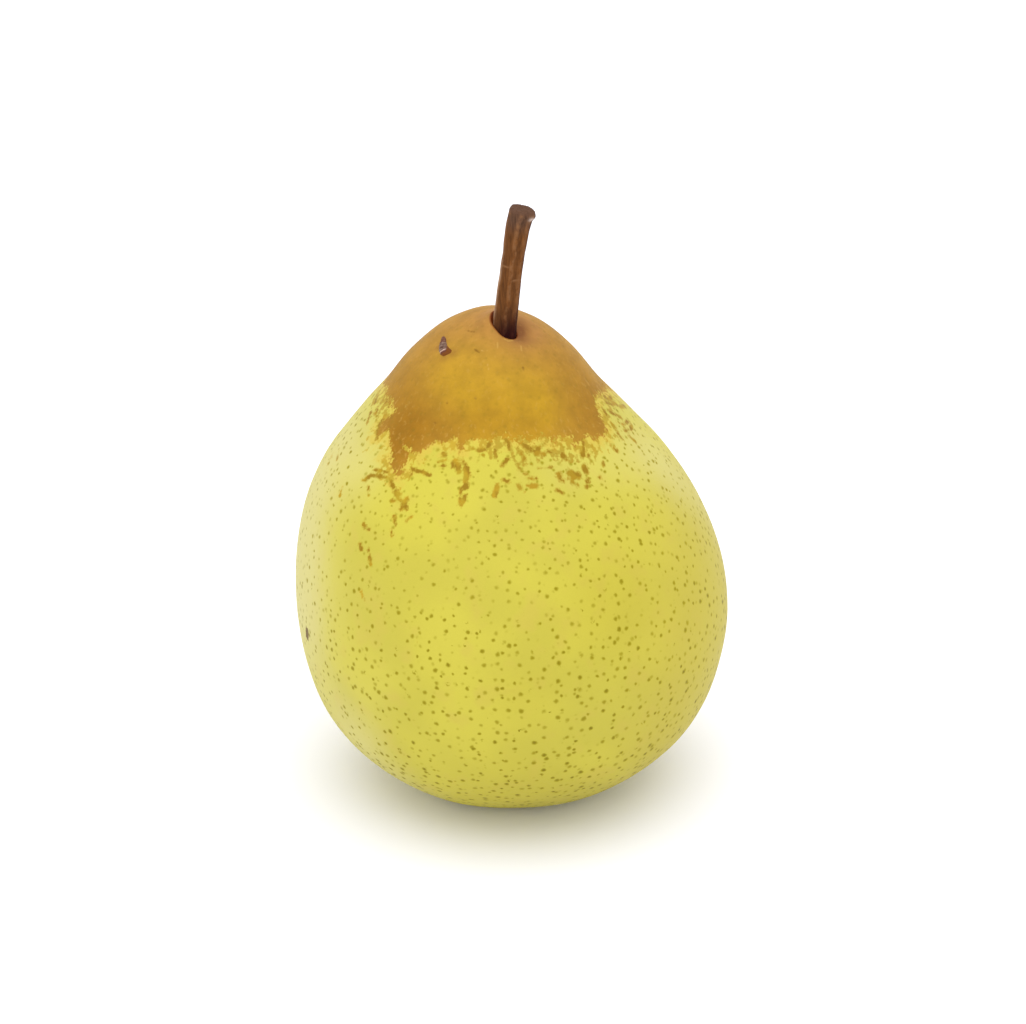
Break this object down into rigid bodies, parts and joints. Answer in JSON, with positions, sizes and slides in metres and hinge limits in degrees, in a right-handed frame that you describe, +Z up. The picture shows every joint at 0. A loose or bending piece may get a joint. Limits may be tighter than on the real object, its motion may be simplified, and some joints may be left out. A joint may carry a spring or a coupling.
{
  "type": "pear",
  "caption": "Whole white pear with a russet cap and a woody stalk, standing upright on the low rim round its dried eye.",
  "frame": {"origin": "on the ground, under the middle of the whole pear", "axes": "+Z up towards the stalk, +X to the right and -Y to the front, as the picture sees it; the stalk leans a little to +X and -Y"},
  "size_m": [0.0758, 0.0758, 0.1069],
  "materials": {
    "skin": "satin yellow-green fruit skin with brown pores and a golden-brown russet cap",
    "stalk_wood": "dull brown ridged stalk with pale edges and a darker foot",
    "withered_eye": "dry dark brown, rough"
  },
  "bodies": {
    "root": {"fruit": "skin", "stem": "stalk_wood", "calyx": "withered_eye"}
  },
  "joints": []
}
